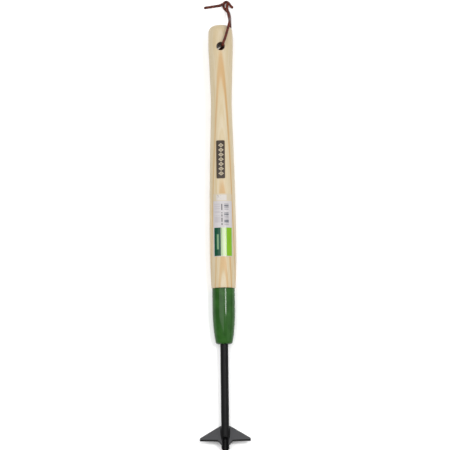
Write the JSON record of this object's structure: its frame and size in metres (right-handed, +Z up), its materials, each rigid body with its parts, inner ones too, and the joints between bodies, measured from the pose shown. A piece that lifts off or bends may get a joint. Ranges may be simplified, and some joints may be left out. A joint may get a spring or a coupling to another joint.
{
  "type": "stand up weeder",
  "caption": "Wooden-handled weeding tool: steel ferrule, round shank, gouge tip with two sloping foot treads, and a knotted leather hanging thong.",
  "frame": {"origin": "on the floor under the middle of the tool, which lies on its back on the belly of its handle and its ferrule; the thong is left out of the middle", "axes": "+Y along the tool towards the grip end, +X to the right when the badge faces up and the grip is away from the viewer, +Z up off the floor; the tool's own axis is raised 2.05 degrees towards the grip"},
  "size_m": [0.076, 0.6859, 0.0598],
  "materials": {
    "ash_wood": "clear satin lacquer over pale ash",
    "green_paint": "gloss green enamel on steel",
    "black_coat": "satin black powder coat on forged steel",
    "badge_foil": "gloss dark foil badge",
    "label_paper": "coated paper label, printed in greens",
    "thong_leather": "waxed round leather thong, dark red brown"
  },
  "bodies": {
    "tool": {"handle": "ash_wood", "ferrule": "green_paint", "cross_pin": "green_paint", "shank": "black_coat", "right_tread": "black_coat", "left_tread": "black_coat", "tread_welds": "black_coat", "badge": "badge_foil", "product_label": "label_paper"},
    "lanyard": {"lanyard_front_strand": "thong_leather", "lanyard_back_strand": "thong_leather", "lanyard_knot": "thong_leather", "lanyard_long_tail": "thong_leather", "lanyard_short_tail": "thong_leather"}
  },
  "joints": [
    {"name": "lanyard_swing", "type": "hinge", "parent": "tool", "child": "lanyard", "pos_m": [0, 0.28768, 0.03158], "axis": [0, -0.0358, 0.9994], "range_deg": [-90, 110]}
  ]
}
